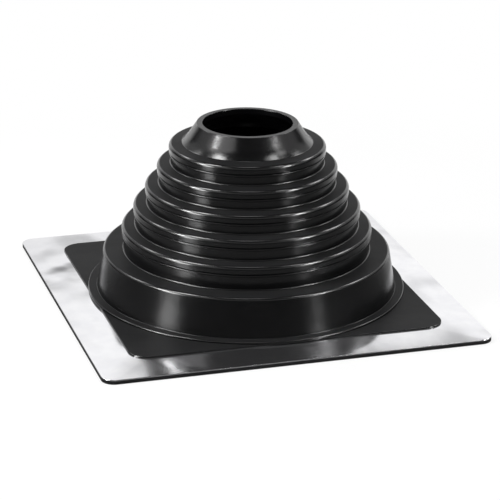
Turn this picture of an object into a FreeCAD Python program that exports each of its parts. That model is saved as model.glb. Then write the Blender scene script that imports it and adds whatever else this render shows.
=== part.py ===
"""Pipe flashing boot: a stepped rubber boot moulded onto a square aluminium flange.

Millimetres. +Z is up, along the pipe. The origin is the centre of the flat underside that
lies on the roof. Two pieces are written: the one-piece rubber boot, with the pad and base
sheet that hold the flange, and the flange itself.
"""
import FreeCAD, Part
import math
import os

V = FreeCAD.Vector

chord_len = 2.4             # longest straight chord in a rounding

# ---- overall sizes ----
base_side = 280.0           # square base sheet and flange, edge to edge
base_corner_r = 9.0
height = 129.9              # roof to rim
opening_r = 32.5            # uncut mouth, stretched over the smallest pipe

# ---- flange and what holds it ----
sheet_t = 2.6               # rubber under the flange, at its outer edge
flange_t = 0.8              # soft aluminium sheet
flange_show = 26.0          # margin of the flange left bare round the pad
flange_fall = 2.0           # drop of the flange from its hidden inner edge to its outer edge
flange_grip = 6.0           # margin of the flange held under the pad
flange_edge = 0.3           # broken edge round the outside of the flange
flange_inner_corner_r = 12.0
pad_corner_r = 14.0
pad_cover = 0.8             # rubber above the flange's inner edge
pad_edge = 0.5

# ---- sealing grooves pressed into the underside ----
groove_count = 2
groove_pitch = 8.0
groove_w = 2.0
groove_deep = 1.0
groove_inset = 6.0          # outer edge of the base to the first groove

# ---- skirt and foot ----
wall_t = 3.0                # rubber wall
foot_over = 1.6             # the round foot passes the middle of each side of the pad by this
foot_rise = 1.4             # foot above the pad
foot_w = 6.4                # foot outside the skirt
foot_edge_r = 1.0
foot_fillet_r = 3.0
skirt_draft = 5.0           # skirt wider at its foot than at its top
skirt_z = 35.6              # level of the shelf on the skirt
skirt_edge_r = 1.2
skirt_shelf_w = 13.3        # skirt's top edge to the lip of the bottom step
skirt_shelf_fall = 0.2

# ---- trim steps ----
step_count = 5
step_r = 56.6               # lip of the top step
bottom_step_up = 17.7       # shelf of the bottom step above the skirt's shelf
bottom_step_sink = 1.2      # the bottom step lies lower than an even spacing would put it
shelf_fall = 1.1            # shelves shed water
shoulder_r = 4.4            # rolled outer edge of a shelf
lip_drop = 5.3              # shelf to the lip's lower edge
trim_deep = 2.2             # knife groove under the lip, from the lip's face
trim_w = 0.9
neck_in = 1.3               # neck below the groove, inside the lip

# ---- collar ----
rim_w = 4.0                 # flat rim round the mouth
rim_edge_r = 0.6
mouth_land = 4.0            # straight wall that grips the pipe
collar_h = 15.2             # rim above the top shelf
collar_flare = 10.6         # collar wider where it meets the top shelf than at the rim


def rounded_square(side, corner_r, z):
    """Closed wire of a square with round corners, centred on the axis."""
    h, c, k = side / 2, side / 2 - corner_r, corner_r * math.sqrt(0.5)
    edges = []
    for quarter in range(4):
        turn = FreeCAD.Rotation(V(0, 0, 1), 90 * quarter)
        place = lambda x, y: turn.multVec(V(x, y, 0)) + V(0, 0, z)
        edges.append(Part.LineSegment(place(h, -c), place(h, c)).toShape())
        edges.append(Part.Arc(place(h, c), place(c + k, c + k), place(c, h)).toShape())
    return Part.Wire(edges)


def block(side, corner_r, z0, z1):
    """Upright block of a rounded square."""
    return Part.Face(rounded_square(side, corner_r, z0)).extrude(V(0, 0, z1 - z0))


def bevelled_block(side, corner_r, z0, z1, bevel):
    """Upright block of a rounded square with its top edge broken."""
    low = rounded_square(side, corner_r, z1 - bevel)
    high = rounded_square(side - 2 * bevel, corner_r - bevel, z1)
    return block(side, corner_r, z0, z1 - bevel).fuse(Part.makeLoft([low, high], True, True))


def hipped_block(z0):
    """Low hipped roof from z0 at the base's edge up to the flange's inner edge, mitred at the corners."""
    low, high = base_side / 2, inner_side / 2
    roof = Part.makeWedge(-low, 0, -low, -high, -high, low, flange_fall, low, high, high)
    roof.rotate(V(0, 0, 0), V(1, 0, 0), 90)
    roof.translate(V(0, 0, z0))
    return roof.common(block(base_side, base_corner_r, z0, z0 + flange_fall))


def section(corners):
    """Closed section in the XZ plane. Each corner is (r, z, rounding), 0 for a sharp one.

    A rounding is turned as short straight chords, so each becomes a few narrow cones.
    """
    points = []
    for i, (r, z, rounding) in enumerate(corners):
        corner = V(r, 0, z)
        if not rounding:
            points.append(corner)
            continue
        before, after = corners[i - 1], corners[(i + 1) % len(corners)]
        back = (V(before[0], 0, before[1]) - corner).normalize()
        on = (V(after[0], 0, after[1]) - corner).normalize()
        half = back.getAngle(on) / 2
        centre = corner + (back + on).normalize() * (rounding / math.sin(half))
        start = corner + back * (rounding / math.tan(half)) - centre
        turn = math.pi - 2 * half
        chords = math.ceil(rounding * turn / chord_len)
        axis = back.cross(on) * -1
        for k in range(chords + 1):
            points.append(centre + FreeCAD.Rotation(axis, math.degrees(turn * k / chords)).multVec(start))
    return Part.makePolygon(points + points[:1])


# ---- plan sizes that follow, from the base's edge inwards ----
pad_side = base_side - 2 * flange_show
inner_side = pad_side - 2 * flange_grip
foot_r = pad_side / 2 + foot_over
skirt_r = foot_r - foot_w                                      # skirt at its foot
skirt_top_r = skirt_r - skirt_draft
step_run = (skirt_top_r - skirt_shelf_w - step_r) / (step_count - 1)
rim_r = opening_r + rim_w
collar_foot_r = rim_r + collar_flare

# ---- levels that follow ----
flange_outer_z = sheet_t + flange_t
pad_z = flange_outer_z + flange_fall + pad_cover
foot_z = pad_z + foot_rise
step_z = height - collar_h                                     # shelf of the top step
bottom_step_z = skirt_z + bottom_step_up
step_rise = (step_z - bottom_step_z - bottom_step_sink) / (step_count - 1)
collar_slope = (collar_foot_r - rim_r) / (height - step_z)     # radius gained per mm down
collar_wall = wall_t * math.hypot(1, collar_slope)             # its wall measured level


def lip(i):
    """Radius of a step's lip and level of its shelf, counted from the top step."""
    return step_r + i * step_run, step_z - i * step_rise if i < step_count - 1 else bottom_step_z


def collar_inner_r(z):
    """Radius of the collar's inner cone at a height."""
    return rim_r + (height - z) * collar_slope - collar_wall


def outer_corners():
    """Outside of the boot from the mouth down to the foot."""
    corners = [(opening_r, height, 0), (rim_r, height, rim_edge_r),
               (collar_foot_r, step_z + shelf_fall, 0)]
    for i in range(step_count):
        r, z = lip(i)
        lip_z = z - lip_drop
        below = lip(i + 1)[1] + shelf_fall if i < step_count - 1 else skirt_z + skirt_shelf_fall
        corners += [(r, z, shoulder_r),
                    (r, lip_z, 0),
                    (r - trim_deep, lip_z, 0),
                    (r - neck_in, lip_z - trim_w, 0),
                    (r - neck_in, below, 0)]
    corners += [(skirt_top_r, skirt_z, skirt_edge_r),
                (skirt_r, foot_z, foot_fillet_r),
                (foot_r, foot_z, foot_edge_r)]
    return corners


def inner_corners():
    """Inside of the boot from the underside up to the mouth."""
    corners = [(skirt_r - wall_t, 0, 0), (skirt_top_r - wall_t, skirt_z - wall_t, 0)]
    for i in reversed(range(step_count)):
        r, z = lip(i)
        inner = r - neck_in - wall_t
        below = lip(i + 1)[1] if i < step_count - 1 else skirt_z
        corners += [(inner, below - wall_t, 0), (inner, z - wall_t, 0)]
    land_z = height - mouth_land
    # below the straight land the mouth opens at 45 degrees until it meets the inner cone
    lead = (collar_inner_r(land_z) - opening_r) / (1 - collar_slope)
    cone_foot_z = step_z - wall_t
    corners += [(collar_inner_r(cone_foot_z), cone_foot_z, 0),
                (opening_r + lead, land_z - lead, 0),
                (opening_r, land_z, 0)]
    return corners


def flange():
    """Hipped square ring of sheet aluminium, its outer edge broken."""
    sheet = bevelled_block(base_side, base_corner_r, sheet_t, flange_outer_z, flange_edge)
    hips = hipped_block(flange_outer_z).common(
        block(base_side - 2 * flange_edge, base_corner_r - flange_edge, 0, pad_z))
    ring = sheet.fuse(hips).cut(hipped_block(sheet_t))
    return ring.cut(block(inner_side, flange_inner_corner_r, 0, pad_z)).removeSplitter()


def sealing_grooves():
    """Square rings that leave sealing ribs on the underside."""
    rings = []
    for i in range(groove_count):
        inset = groove_inset + i * groove_pitch
        side = base_side - 2 * inset
        inner = side - 2 * groove_w
        rings.append(block(side, base_corner_r + 1, 0, groove_deep).cut(
            block(inner, base_corner_r, 0, groove_deep)))
    return rings


def boot(held):
    """One rubber moulding: stepped shell, foot, pad over the flange and sheet under it."""
    shell = Part.Face(section(outer_corners() + [(foot_r, 0, 0)] + inner_corners())).revolve(
        V(0, 0, 0), V(0, 0, 1), 360)
    pad = bevelled_block(pad_side, pad_corner_r, 0, pad_z, pad_edge)
    sheet = block(base_side, base_corner_r, 0, sheet_t).fuse(hipped_block(sheet_t))
    base = sheet.fuse(pad)
    base = base.cut(Part.makeCylinder(skirt_r - wall_t / 2, pad_z))
    solid = base.fuse(shell)
    solid = solid.cut(held)
    solid = solid.cut(sealing_grooves())
    return solid.removeSplitter()


def write(name, shape):
    os.makedirs("parts", exist_ok=True)
    solid = shape.Solids[0] if len(shape.Solids) == 1 else shape
    print(name, "valid", solid.isValid(), "solids", len(shape.Solids),
          "volume cm3 %.1f" % (solid.Volume / 1000), "box", solid.BoundBox)
    solid.exportStep("parts/%s.step" % name)


aluminium_flange = flange()
write("aluminium_flange", aluminium_flange)
write("rubber_boot", boot(aluminium_flange))
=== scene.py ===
"""Looks of the pipe flashing boot: smooth rubber and sheet metal skins, finishes, light and camera.

Sizes are millimetres, turned into metres where meshes and finishes use them. The skins follow the
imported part. Small roundings, the knife grooves and the collar's hollow sweep are finer than its
solids have.
"""
import math

import bpy
import numpy as np
from mathutils import Matrix, Vector


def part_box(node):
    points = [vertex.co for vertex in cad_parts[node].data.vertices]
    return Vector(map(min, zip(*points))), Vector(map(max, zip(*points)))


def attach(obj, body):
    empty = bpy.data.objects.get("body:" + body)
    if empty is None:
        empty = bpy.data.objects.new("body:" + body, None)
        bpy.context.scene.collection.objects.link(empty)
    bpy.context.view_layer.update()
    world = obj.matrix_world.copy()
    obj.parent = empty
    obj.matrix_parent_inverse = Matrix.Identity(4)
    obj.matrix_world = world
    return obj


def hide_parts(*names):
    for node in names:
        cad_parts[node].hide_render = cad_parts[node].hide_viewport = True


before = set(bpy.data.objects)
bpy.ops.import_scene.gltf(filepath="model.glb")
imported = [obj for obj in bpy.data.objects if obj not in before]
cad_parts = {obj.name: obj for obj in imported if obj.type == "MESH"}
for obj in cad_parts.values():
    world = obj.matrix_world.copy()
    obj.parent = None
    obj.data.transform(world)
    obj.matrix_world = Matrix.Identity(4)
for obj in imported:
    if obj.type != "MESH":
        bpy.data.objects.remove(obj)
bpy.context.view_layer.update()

MM = 0.001                  # metres in a millimetre

# ---- overall sizes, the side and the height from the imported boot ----
low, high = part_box("rubber_boot")
base_side = round((high.x - low.x) / MM, 3)
height = round((high.z - low.z) / MM, 3)
base_corner_r = 9.0
base_edge_r = 0.4
opening_r = 32.5            # uncut mouth

# ---- flange and what holds it ----
sheet_t = 2.6               # rubber under the flange, at its outer edge
flange_t = 0.8              # soft aluminium sheet
flange_show = 26.0          # margin of the flange left bare round the pad
flange_fall = 2.0           # drop of the flange from its hidden inner edge to its outer edge
flange_grip = 6.0           # margin of the flange held under the pad
flange_edge_r = 0.3
flange_inner_corner_r = 12.0
pad_corner_r = 14.0
pad_cover = 0.8             # rubber above the flange's inner edge
pad_edge_r = 0.5
pad_land = 1.5              # ring kept inside the pad's rounded edge

# ---- sealing grooves pressed into the underside ----
groove_count = 2
groove_pitch = 8.0
groove_w = 2.0
groove_deep = 1.0
groove_inset = 6.0          # outer edge of the base to the first groove

# ---- skirt and foot ----
wall_t = 3.0                # rubber wall
foot_over = 1.6             # the round foot passes the middle of each side of the pad by this
foot_rise = 1.4             # foot above the pad
foot_w = 6.4                # foot outside the skirt
foot_edge_r = 1.2
foot_fillet_r = 0.3
skirt_draft = 5.0           # skirt wider at its foot than at its top
skirt_z = 35.6              # level of the shelf on the skirt
skirt_edge_r = 2.4
skirt_shelf_w = 13.3        # skirt's top edge to the lip of the bottom step
skirt_shelf_fall = 0.2

# ---- trim steps ----
step_count = 5
step_r = 56.6               # lip of the top step
bottom_step_up = 17.7       # shelf of the bottom step above the skirt's shelf
bottom_step_sink = 1.2      # the bottom step lies lower than an even spacing would put it
shelf_fall = 1.1            # shelves shed water
shoulder_r = 4.4            # rolled outer edge of a shelf
lip_drop = 5.3              # shelf to the lip's lower edge
lip_edge_r = 0.4
trim_deep = 2.0             # knife groove under the lip, from the lip's face
trim_w = 0.8
bead_in = 0.3               # bead under the groove, inside the lip
bead_h = 1.2
bead_edge_r = 0.5
neck_in = 1.3               # neck below the bead, inside the lip
neck_fillet_r = 0.9

# ---- collar ----
rim_w = 4.0                 # flat rim round the mouth
rim_edge_r = 0.5
mouth_edge_r = 0.35
mouth_land = 4.0            # straight wall that grips the pipe
collar_h = 15.2             # rim above the top shelf
collar_flare = 10.6         # collar wider where it meets the top shelf than at the rim
collar_waist = 0.70         # deepest place of the hollow sweep, as a share of the way down
collar_dish = 0.5           # depth of the sweep, both inwards and down
collar_sweep_r = 35.0

# ---- edges inside the boot, and where its two rubber skins overlap out of sight ----
inner_round_r = 1.5
crisp_r = 0.1               # rounding left on an edge that is moulded sharp
foot_sink = 0.5             # the foot's side runs on below the pad's top
tuck_w = 6.0                # the shell then slopes in by this
tuck_z = 1.0                # down to this level
base_tuck = 1.0             # the base runs in past the outside of the skirt's foot by this
base_tuck_z = 0.2           # level of its underside there

# ---- sizes that follow ----
pad_side = base_side - 2 * flange_show
inner_side = pad_side - 2 * flange_grip                        # hidden inner edge of the flange
foot_r = pad_side / 2 + foot_over
skirt_r = foot_r - foot_w                                      # skirt at its foot
skirt_top_r = skirt_r - skirt_draft
step_run = (skirt_top_r - skirt_shelf_w - step_r) / (step_count - 1)
rim_r = opening_r + rim_w
flange_outer_z = sheet_t + flange_t
pad_z = flange_outer_z + flange_fall + pad_cover
foot_z = pad_z + foot_rise
step_z = height - collar_h                                     # shelf of the top step
bottom_step_z = skirt_z + bottom_step_up
step_rise = (step_z - bottom_step_z - bottom_step_sink) / (step_count - 1)
collar_slope = collar_flare / collar_h                         # radius gained per mm down
collar_wall = wall_t * math.hypot(1, collar_slope)             # its wall measured level

# ---- mesh fineness ----
turn_steps = 288            # round the axis
corner_steps = 12           # round each corner of a square ring
side_steps = 48             # along each side of a square ring
support = 0.12              # ring beside each rounding, so that flats stay flat
small_r = 1.0               # a rounding below this is small
small_arc_step = 15         # degrees turned between the points of a small rounding
large_arc_step = 7
least_arc_steps = 3

# ---- where the finishes change ----
rim_shine = 1.0             # the rim's top is only half matt down to this
rim_blend = 1.0             # and below that turns fully matt over this
edge_blend = 1.0            # the sheet's matt edge fades out over this, above the flange's edge
back_shade_start = 20.0           # painted shade greys the aluminium from this far behind the axis
back_shade_margin = 5.0           # up to this far from the back edge
dent_in_x = 15.0            # middle of the dents, in from the left edge
dent_in_y = 12.0            # and in from the back edge
dent_full = 40.0            # dents at their deepest within this of their middle
dent_reach = 130.0          # and gone beyond this


# =====================================================================  meshes
def outline(corners, closed=False):
    """Points of a run of (r, z, rounding) corners, each an arc with a ring kept beside it."""
    points = []
    count = len(corners)
    for i, (r, z, rounding) in enumerate(corners):
        corner = np.array([r, z])
        if not closed and i in (0, count - 1):
            points.append(corner)
            continue
        back = np.array(corners[i - 1][:2]) - corner
        on = np.array(corners[(i + 1) % count][:2]) - corner
        room = min(np.hypot(*back), np.hypot(*on)) / 2
        back = back / np.hypot(*back)
        on = on / np.hypot(*on)
        half = math.acos(np.clip(back @ on, -1, 1)) / 2
        most = room - support if room > 2 * support else room / 2
        reach = min((rounding or crisp_r) / math.tan(half), most)
        rounding = reach * math.tan(half)
        centre = corner + (back + on) / np.hypot(*(back + on)) * rounding / math.sin(half)
        start = corner + back * reach - centre
        way = 1 if back[0] * on[1] < back[1] * on[0] else -1
        turn = (math.pi - 2 * half) * way
        arc_step = small_arc_step if rounding < small_r else large_arc_step
        steps = max(least_arc_steps, math.ceil(abs(turn) / math.radians(arc_step)))
        beside = reach + min(support, room - reach)
        points.append(corner + back * beside)
        for k in range(steps + 1):
            c = math.cos(turn * k / steps)
            s = math.sin(turn * k / steps)
            points.append(centre + np.array([c * start[0] - s * start[1], s * start[0] + c * start[1]]))
        points.append(corner + on * beside)
    return np.array(points)


def skin(name, rings, closed):
    """Smooth mesh from rings of equal count; closed joins the last ring to the first."""
    count = len(rings[0])
    rows = len(rings)
    verts = np.concatenate(rings) * MM
    i = np.arange(rows if closed else rows - 1)[:, None]
    j = np.arange(count)[None, :]
    here = i * count
    there = (i + 1) % rows * count
    beside = (j + 1) % count
    faces = np.stack([here + j, here + beside, there + beside, there + j], -1).reshape(-1, 4)
    mesh = bpy.data.meshes.new(name)
    mesh.from_pydata(verts.tolist(), [], faces.tolist())
    mesh.polygons.foreach_set("use_smooth", np.ones(len(faces), bool))
    mesh.update()
    obj = bpy.data.objects.new(name, mesh)
    bpy.context.scene.collection.objects.link(obj)
    return obj


def circle_ring(r, z):
    """Circle about the axis."""
    t = np.linspace(0, 2 * np.pi, turn_steps, endpoint=False)
    return np.stack([r * np.cos(t), r * np.sin(t), np.full_like(t, z)], -1)


def square_ring(side, corner_r, z):
    """Rounded square ring, corner arcs joined by straight sides."""
    c = side / 2 - corner_r
    arc = np.linspace(0, np.pi / 2, corner_steps + 1)
    along = np.linspace(c, -c, side_steps + 1)[1:-1]
    x = np.concatenate([c + corner_r * np.cos(arc), along])
    y = np.concatenate([c + corner_r * np.sin(arc), np.full(side_steps - 1, side / 2)])
    turns = [k * np.pi / 2 for k in range(4)]
    round_x = np.concatenate([x * math.cos(t) - y * math.sin(t) for t in turns])
    round_y = np.concatenate([x * math.sin(t) + y * math.cos(t) for t in turns])
    return np.stack([round_x, round_y, np.full_like(round_x, z)], -1)


def round_ring(ring, r, z):
    """Circle whose points lie on the same spokes as the points of another ring."""
    spokes = ring[:, :2] / np.hypot(ring[:, 0], ring[:, 1])[:, None]
    return np.column_stack([spokes * r, np.full(len(ring), z)])


def square_rings(section, corner_of):
    """Rings along (half side, z) points; corner_of gives the corner radius at a half side."""
    return [square_ring(2 * half_side, corner_of(half_side), z) for half_side, z in section]


# ---- the stepped shell, turned ----
def lip(i):
    """Radius of a step's lip and level of its shelf, counted from the top step."""
    return step_r + i * step_run, step_z - i * step_rise if i < step_count - 1 else bottom_step_z


def collar_inner_r(z):
    """Radius of the collar's inner cone at a height."""
    return rim_r + (height - z) * collar_slope - collar_wall


def collar_outside():
    """Mouth's edge, flat rim, and the collar's hollow sweep down to the top shelf."""
    collar_foot_z = step_z + shelf_fall
    waist_r = rim_r + collar_flare * collar_waist - collar_dish
    waist_z = height - (height - collar_foot_z) * collar_waist - collar_dish
    return [(opening_r, height, mouth_edge_r),
            (rim_r, height, rim_edge_r),
            (waist_r, waist_z, collar_sweep_r),
            (rim_r + collar_flare, collar_foot_z, neck_fillet_r)]


def step_outside(i):
    """One trim step: rolled shoulder, lip, knife groove, bead and neck."""
    r, z = lip(i)
    lip_z = z - lip_drop
    groove_z = lip_z - trim_w
    bead_z = groove_z - bead_h
    below = lip(i + 1)[1] + shelf_fall if i < step_count - 1 else skirt_z + skirt_shelf_fall
    return [(r, z, shoulder_r),
            (r, lip_z, lip_edge_r),
            (r - trim_deep, lip_z, 0),
            (r - trim_deep, groove_z, 0),
            (r - bead_in, groove_z, bead_edge_r),
            (r - bead_in, bead_z, bead_edge_r),
            (r - neck_in, bead_z - (neck_in - bead_in) / 2, 0),
            (r - neck_in, below, neck_fillet_r)]


def skirt_outside():
    """Skirt and foot, and the hidden turn under the foot."""
    return [(skirt_top_r, skirt_z, skirt_edge_r),
            (skirt_r, foot_z, foot_fillet_r),
            (foot_r, foot_z, foot_edge_r),
            (foot_r, pad_z - foot_sink, 0),
            (foot_r - tuck_w, tuck_z, 0)]


def hollow():
    """Inside of the boot, from the open underside up to the straight land in the mouth."""
    corners = [(skirt_r - wall_t, 0, 0), (skirt_top_r - wall_t, skirt_z - wall_t, inner_round_r)]
    for i in reversed(range(step_count)):
        r, z = lip(i)
        inner = r - neck_in - wall_t
        below = lip(i + 1)[1] if i < step_count - 1 else skirt_z
        corners += [(inner, below - wall_t, inner_round_r), (inner, z - wall_t, inner_round_r)]
    land_z = height - mouth_land
    # below the straight land the mouth opens at 45 degrees until it meets the inner cone
    lead = (collar_inner_r(land_z) - opening_r) / (1 - collar_slope)
    cone_foot_z = step_z - wall_t
    corners += [(collar_inner_r(cone_foot_z), cone_foot_z, inner_round_r),
                (opening_r + lead, land_z - lead, inner_round_r),
                (opening_r, land_z, 0)]
    return corners


def shell_rings():
    """The whole shell, down the outside and up the inside."""
    corners = collar_outside()
    for i in range(step_count):
        corners += step_outside(i)
    corners += skirt_outside() + hollow()
    return [circle_ring(r, z) for r, z in outline(corners, closed=True)]


# ---- the flange and the base that holds it, square ----
def hip_z(half_side):
    """Height of the flange's top at a distance from the axis, square to a side."""
    return flange_outer_z + flange_fall * (base_side - 2 * half_side) / (base_side - inner_side)


def flange_corner(half_side):
    """Corner radius of the flange, from its outer edge in to its hidden edge."""
    share = (base_side / 2 - half_side) / ((base_side - inner_side) / 2)
    return base_corner_r + (flange_inner_corner_r - base_corner_r) * share


def base_corner(half_side):
    """Corner radius of the base: the flange's own outside the pad, the pad's within it."""
    return flange_corner(half_side) if half_side > pad_side / 2 + pad_edge_r else pad_corner_r


def flange_rings():
    """Sheet of even thickness, falling outwards."""
    outer = base_side / 2
    inner = inner_side / 2
    corners = [(inner, hip_z(inner) - flange_t, 0),
               (outer, sheet_t, 0),
               (outer, flange_outer_z, flange_edge_r),
               (inner, hip_z(inner), 0)]
    return square_rings(outline(corners, closed=True), flange_corner)


def base_rings():
    """Underside with its sealing grooves, the slot that holds the flange, and the pad on top."""
    outer = base_side / 2
    inner = inner_side / 2
    pad = pad_side / 2
    corners = [(pad, 0, 0)]
    for i in reversed(range(groove_count)):
        groove = outer - groove_inset - i * groove_pitch
        corners += [(groove - groove_w, 0, 0), (groove - groove_w, groove_deep, 0),
                    (groove, groove_deep, 0), (groove, 0, 0)]
    corners += [(outer, 0, base_edge_r),
                (outer, sheet_t, 0),
                (inner, hip_z(inner) - flange_t, 0),
                (inner, hip_z(inner), 0),
                (pad, hip_z(pad), 0),
                (pad, pad_z, pad_edge_r),
                (pad - pad_land, pad_z, 0)]
    rings = square_rings(outline(corners), base_corner)
    end_r = skirt_r - base_tuck
    return [round_ring(rings[0], end_r, base_tuck_z), *rings, round_ring(rings[-1], end_r, pad_z)]


# =====================================================================  finishes
class Value:
    """A socket of a node tree; arithmetic on it adds Math nodes."""

    def __init__(self, graph, socket):
        self.graph = graph
        self.socket = socket

    def __add__(self, other):
        return self.graph.math("ADD", self, other)

    def __radd__(self, other):
        return self.graph.math("ADD", other, self)

    def __sub__(self, other):
        return self.graph.math("SUBTRACT", self, other)

    def __rsub__(self, other):
        return self.graph.math("SUBTRACT", other, self)

    def __mul__(self, other):
        return self.graph.math("MULTIPLY", self, other)

    def __rmul__(self, other):
        return self.graph.math("MULTIPLY", other, self)


class Graph:
    """Node tree of a material or the world."""

    def __init__(self, owner):
        owner.use_nodes = True
        self.tree = owner.node_tree
        self.tree.nodes.clear()

    def add(self, kind, settings=None, inputs=None, out=0):
        """Node of a type, its settings made first, then its inputs; returns one output."""
        node = self.tree.nodes.new(kind)
        for key, value in (settings or {}).items():
            setattr(node, key, value)
        for key, value in (inputs or {}).items():
            if isinstance(value, Value):
                self.tree.links.new(value.socket, node.inputs[key])
            else:
                node.inputs[key].default_value = value
        return Value(self, node.outputs[out]) if len(node.outputs) else None

    def math(self, operation, a, b):
        """Math node on two values."""
        return self.add("ShaderNodeMath", {"operation": operation}, {0: a, 1: b})

    def vector(self, operation, a, b, out="Vector"):
        """Vector Math node on two vectors."""
        return self.add("ShaderNodeVectorMath", {"operation": operation}, {0: a, 1: b}, out)

    def part(self, vector, axis):
        """One axis of a vector."""
        return self.add("ShaderNodeSeparateXYZ", {}, {0: vector}, axis)

    def mix(self, share, a, b):
        """Colour between a and b; the node has many sockets of one name, so they go by number."""
        return self.add("ShaderNodeMix", {"data_type": "RGBA"}, {0: share, 6: a, 7: b}, 2)

    def blend(self, share, a, b):
        """Shader between a and b."""
        return self.add("ShaderNodeMixShader", {}, {0: share, 1: a, 2: b})

    def noise(self, place, scale, detail, rough=0.5, stretch=None):
        """Cloudy values from 0 to 1; stretch draws them out along the axes with small numbers."""
        if stretch:
            place = self.vector("MULTIPLY", place, stretch)
        return self.add("ShaderNodeTexNoise", {}, {
            "Vector": place, "Scale": scale, "Detail": detail, "Roughness": rough})

    def range(self, value, start, end, low=0.0):
        """Soft step of a value, from low at start to 1 at end."""
        return self.add("ShaderNodeMapRange", {"interpolation_type": "SMOOTHSTEP"}, {
            "Value": value, "From Min": start, "From Max": end, "To Min": low, "To Max": 1.0})

    def bump(self, relief, strength, depth, under=None):
        """Bump of a depth in metres, laid over the bump under it."""
        inputs = {"Strength": strength, "Distance": depth, "Height": relief}
        if under:
            inputs["Normal"] = under
        return self.add("ShaderNodeBump", {}, inputs)

    def surface(self, shader):
        """Ends a material with its shader."""
        self.add("ShaderNodeOutputMaterial", {}, {"Surface": shader})


def object_place(g):
    """Position in the part's own frame, in metres."""
    return g.add("ShaderNodeTexCoord", out="Object")


def rubber():
    """Black moulded rubber: polished on walls and shoulders, matt on shelves, pad and sheet edge."""
    material = bpy.data.materials.new("moulded_rubber")
    g = Graph(material)
    place = object_place(g)
    level = g.part(place, "Z")
    facing_up = g.part(g.add("ShaderNodeNewGeometry", out="Normal"), "Z")
    flat = g.range(facing_up, start=0.90, end=0.985)
    below_rim = g.range(level, (height - rim_shine) * MM, (height - rim_shine - rim_blend) * MM, low=0.5)
    sheet_edge = g.range(level, (flange_outer_z + edge_blend) * MM, flange_outer_z * MM)
    matt_share = g.math("MAXIMUM", flat * below_rim, sheet_edge)
    cloud = g.noise(place, scale=26.0, detail=4.0)
    grain = g.noise(place, scale=1500.0, detail=2.0, rough=0.6)
    ripple = g.noise(place, scale=60.0, detail=2.0)
    handled = g.range(cloud, start=0.35, end=0.7)
    deep_black = g.mix(handled, (0.0018, 0.0018, 0.002, 1), (0.0032, 0.0032, 0.0035, 1))
    bloom = g.mix(handled, (0.014, 0.014, 0.0145, 1), (0.019, 0.019, 0.0195, 1))
    rough = 0.15 + cloud * 0.04 + grain * 0.03
    fine = g.bump(grain, strength=0.10, depth=0.0003)
    relief = g.bump(ripple, strength=0.12, depth=0.002, under=fine)
    polished = g.add("ShaderNodeBsdfPrincipled", {}, {
        "Base Color": deep_black, "Roughness": rough, "Specular IOR Level": 0.8, "Normal": relief})
    matt = g.add("ShaderNodeBsdfPrincipled", {}, {
        "Base Color": bloom, "Roughness": rough + 0.3, "Specular IOR Level": 0.06, "Normal": relief})
    g.surface(g.blend(matt_share, polished, matt))
    return material


def aluminium():
    """Bright rolled sheet: softly waved, dull in patches, greyed towards the back by painted shade, one
    corner dented.
    """
    material = bpy.data.materials.new("bright_aluminium")
    g = Graph(material)
    place = object_place(g)
    wave = g.noise(place, scale=9.0, detail=1.0)
    streak = g.noise(place, scale=220.0, detail=3.0, rough=0.6, stretch=(1.0, 0.08, 1.0))
    speck = g.noise(place, scale=90.0, detail=4.0)
    patch = g.noise(place, scale=24.0, detail=2.0, stretch=(1.0, 0.6, 1.0))
    dull = g.range(patch, start=0.52, end=0.72)
    # painted shade: behind the axis the sheet's colour greys towards its back edge, most in the dull
    # patches
    back = g.range(g.part(place, "Y"), back_shade_start * MM, (base_side / 2 - back_shade_margin) * MM)
    clean = g.mix(g.range(speck, start=0.3, end=0.75), (0.86, 0.86, 0.885, 1), (0.92, 0.92, 0.935, 1))
    handled = g.mix(dull * 0.8, clean, (0.68, 0.68, 0.70, 1))
    dull_and_painted_shade = g.mix(back * (0.30 + dull * 0.6), handled, (0.40, 0.40, 0.415, 1))
    rough = 0.07 + streak * 0.05 + speck * 0.03 + dull * 0.12
    dents_middle = ((dent_in_x - base_side / 2) * MM, (base_side / 2 - dent_in_y) * MM, 0)
    from_middle = g.vector("DISTANCE", place, dents_middle, out="Value")
    crumple = g.noise(place, scale=26.0, detail=1.5, stretch=(1.0, 0.7, 1.0))
    dents = crumple * g.range(from_middle, dent_reach * MM, dent_full * MM)
    fine = g.bump(streak, strength=0.05, depth=0.0003)
    waved = g.bump(wave, strength=0.6, depth=0.008, under=fine)
    relief = g.bump(dents, strength=1.0, depth=0.0062, under=waved)
    g.surface(g.add("ShaderNodeBsdfPrincipled", {}, {
        "Base Color": dull_and_painted_shade, "Roughness": rough, "Metallic": 0.98, "Normal": relief}))
    return material


def dress(obj, material, node):
    """Give a skin its finish and set it in place of its CAD piece."""
    obj.data.materials.append(material)
    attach(obj, "root")
    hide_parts(node)


black = rubber()
bright = aluminium()

shell = skin("boot_shell", shell_rings(), closed=True)
base = skin("boot_base", base_rings(), closed=False)
flange = skin("flange_sheet", flange_rings(), closed=True)
dress(shell, black, "rubber_boot")
dress(base, black, "rubber_boot")
dress(flange, bright, "aluminium_flange")

# =====================================================================  studio, in metres
view_azimuth = -16.85       # degrees round from the part's front
view_elevation = 20.7
view_roll = 0.638
view_distance = 1.716
lens_ratio = 4.698          # focal length over sensor width
sensor_w = 36.0             # mm
view_depth = 50.0           # the camera sees this far
aim_right, aim_up = 0.0027, 0.0322      # the camera looks at this place, from the base's centre

lamp_distance = 1.2
lamp_aim = Vector((0, 0, 0.08))
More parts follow.
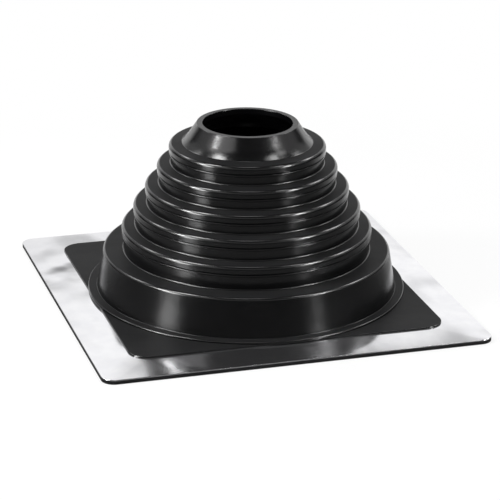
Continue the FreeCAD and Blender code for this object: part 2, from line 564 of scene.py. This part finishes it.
# name, degrees round from the camera, degrees up, width, height, watts
lamps = (
    ("key_left", -80, 60, 0.28, 0.26, 3.9),
    ("wide_left", -58, 46, 0.90, 0.24, 0.94),
    ("window_left", -71, 30, 0.19, 0.30, 6.12),
    ("strip_left", -57, 12, 0.27, 0.45, 4.9),
    ("rim_left", -131, 42, 0.60, 0.15, 1.58),
    ("key_right", 70, 59, 0.20, 0.22, 1.01),
    ("wide_right", 80, 47, 0.26, 0.20, 0.50),
    ("window_right", 64, 30, 0.16, 0.28, 5.04),
    ("strip_right", 53, 10, 0.14, 0.40, 0.86),
    ("rim_right", 131, 42, 0.60, 0.15, 1.80),
    ("overhead", -view_azimuth, 89, 0.35, 0.35, 0.72),
)

floor_half = 3.0            # half the floor's side
table_white = 0.95
table_dim = 0.1             # what gloss on the part sees of the table in front of it
table_rough = 0.2
fill_light = 0.2            # even light from all round

# what gloss on the part sees of the room, from 0 for black to 1 for white
room_beside = 0.03          # beside the part and in front of it
room_band = 0.40            # added in a pale band there, above the table
room_above = 0.08           # behind the part, high up
room_behind = 0.95          # added behind the part, lower down


def direction(azimuth, elevation):
    """Unit vector from the part towards a place; azimuth 0 is -Y, in front of the part."""
    a = math.radians(azimuth)
    e = math.radians(elevation)
    return Vector((math.sin(a) * math.cos(e), -math.cos(a) * math.cos(e), math.sin(e)))


def look(obj, place, aim, roll=0.0):
    """Put a lamp or the camera at a place, facing its aim."""
    turn = (place - aim).to_track_quat("Z", "Y").to_matrix().to_4x4()
    obj.matrix_world = Matrix.Translation(place) @ turn @ Matrix.Rotation(math.radians(roll), 4, "Z")


def softbox(name, azimuth, elevation, width, tall, power):
    """Rectangular lamp that faces the part."""
    data = bpy.data.lights.new(name, "AREA")
    data.shape = "RECTANGLE"
    data.size = width
    data.size_y = tall
    data.energy = power
    lamp = bpy.data.objects.new(name, data)
    bpy.context.scene.collection.objects.link(lamp)
    look(lamp, lamp_aim + direction(azimuth, elevation) * lamp_distance, lamp_aim)


def set_camera():
    """Camera with no shift and no depth of field."""
    data = bpy.data.cameras.new("camera")
    data.sensor_width = sensor_w
    data.lens = sensor_w * lens_ratio
    data.clip_end = view_depth
    camera = bpy.data.objects.new("camera", data)
    bpy.context.scene.collection.objects.link(camera)
    right = Vector((math.cos(math.radians(view_azimuth)), math.sin(math.radians(view_azimuth)), 0))
    aim = right * aim_right + Vector((0, 0, aim_up))
    look(camera, aim + direction(view_azimuth, view_elevation) * view_distance, aim, view_roll)
    bpy.context.scene.camera = camera


def seen_rays(g):
    """Two values: 1 for rays of the camera, and 1 for rays that mirror or pass through a surface."""
    camera_ray = g.add("ShaderNodeLightPath", out="Is Camera Ray")
    glossy = g.add("ShaderNodeLightPath", out="Is Glossy Ray")
    transmission = g.add("ShaderNodeLightPath", out="Is Transmission Ray")
    return camera_ray, g.math("MAXIMUM", glossy, transmission)


def white_world(away):
    """White behind the part, dim in front and above, with a pale band all round above the table."""
    world = bpy.data.worlds.new("studio")
    bpy.context.scene.world = world
    g = Graph(world)
    camera_ray, mirrored = seen_rays(g)
    way = g.add("ShaderNodeTexCoord", out="Generated")
    rise = g.part(way, "Z")
    behind = g.range(g.vector("DOT_PRODUCT", way, away, out="Value"), start=0.66, end=0.87)
    low = g.range(rise, start=0.64, end=0.42)
    band = g.range(rise, start=0.24, end=0.36) * g.range(rise, start=0.70, end=0.62)
    beside = room_beside + band * room_band
    beyond = room_above + low * room_behind
    shown = beside + behind * (beyond - beside)
    level = camera_ray + mirrored * shown
    seen = g.math("MAXIMUM", camera_ray, mirrored)
    strength = g.add("ShaderNodeMix", {"data_type": "FLOAT"}, {0: seen, 2: fill_light, 3: level})
    lit = g.add("ShaderNodeBackground", {}, {"Color": (1, 1, 1, 1), "Strength": strength})
    g.add("ShaderNodeOutputWorld", {}, {"Surface": lit})


def table(g, grey):
    """Smooth table top of one grey."""
    return g.add("ShaderNodeBsdfPrincipled", {}, {
        "Base Color": (grey, grey, grey, 1), "Roughness": table_rough})


def white_floor(away):
    """White table that keeps the part's shadow; gloss on the part sees it white behind, dim in front."""
    mesh = bpy.data.meshes.new("floor")
    corners = [(-floor_half, -floor_half, 0), (floor_half, -floor_half, 0),
               (floor_half, floor_half, 0), (-floor_half, floor_half, 0)]
    mesh.from_pydata(corners, [], [(0, 1, 2, 3)])
    floor = bpy.data.objects.new("floor", mesh)
    bpy.context.scene.collection.objects.link(floor)
    material = bpy.data.materials.new("white_table")
    g = Graph(material)
    camera_ray, mirrored = seen_rays(g)
    place = object_place(g)
    behind = g.range(g.vector("DOT_PRODUCT", place, away, out="Value"), start=-0.02, end=0.32)
    out = g.add("ShaderNodeVectorMath", {"operation": "LENGTH"}, {0: place}, "Value")
    glow = g.range(out, start=0.22, end=0.50, low=0.75)
    white = table(g, table_white)
    plain = g.add("ShaderNodeEmission", {}, {"Color": (1, 1, 1, 1), "Strength": 1.0})
    seen = g.blend(camera_ray * glow, white, plain)
    reflected = g.blend(behind, table(g, table_dim), white)
    g.surface(g.blend(mirrored, seen, reflected))
    mesh.materials.append(material)


away = direction(view_azimuth, 0) * -1      # level, from the camera past the part
set_camera()
for name, turn, up, width, tall, power in lamps:
    softbox(name, view_azimuth + turn, up, width, tall, power)
white_world(away)
white_floor(away)
bpy.context.scene.view_settings.view_transform = "Standard"
